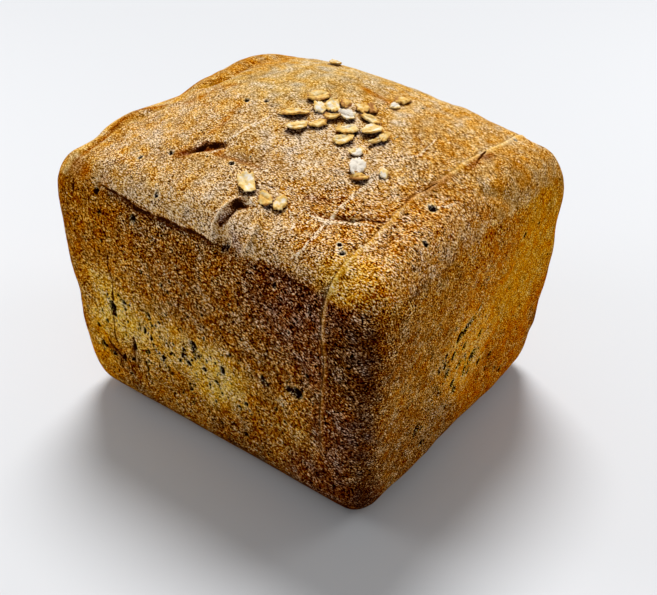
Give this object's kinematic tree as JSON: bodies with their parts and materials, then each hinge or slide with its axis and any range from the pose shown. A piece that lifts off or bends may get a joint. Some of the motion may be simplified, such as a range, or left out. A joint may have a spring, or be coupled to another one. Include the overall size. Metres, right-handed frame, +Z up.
{
  "type": "tin loaf",
  "caption": "Whole wholemeal tin loaf with flared sides, rounded edges, a low domed top with folds and a seam, and rolled oats baked onto the crust.",
  "frame": {"origin": "middle of the bottom of the loaf, on the surface it stands on", "axes": "+X along the loaf's long side towards the end with the dough seam, +Y along its short side away from the oats at the edge, +Z up"},
  "size_m": [0.157, 0.1339, 0.1285],
  "materials": {
    "crust": "dry matt wholemeal crust: brown with pale flour specks, orange-brown on the dome and nearly black-brown at the front corner",
    "oats": "dry matt rolled oat flakes, cream to toasted yellow"
  },
  "bodies": {
    "root": {"loaf": "crust"}
  },
  "joints": []
}
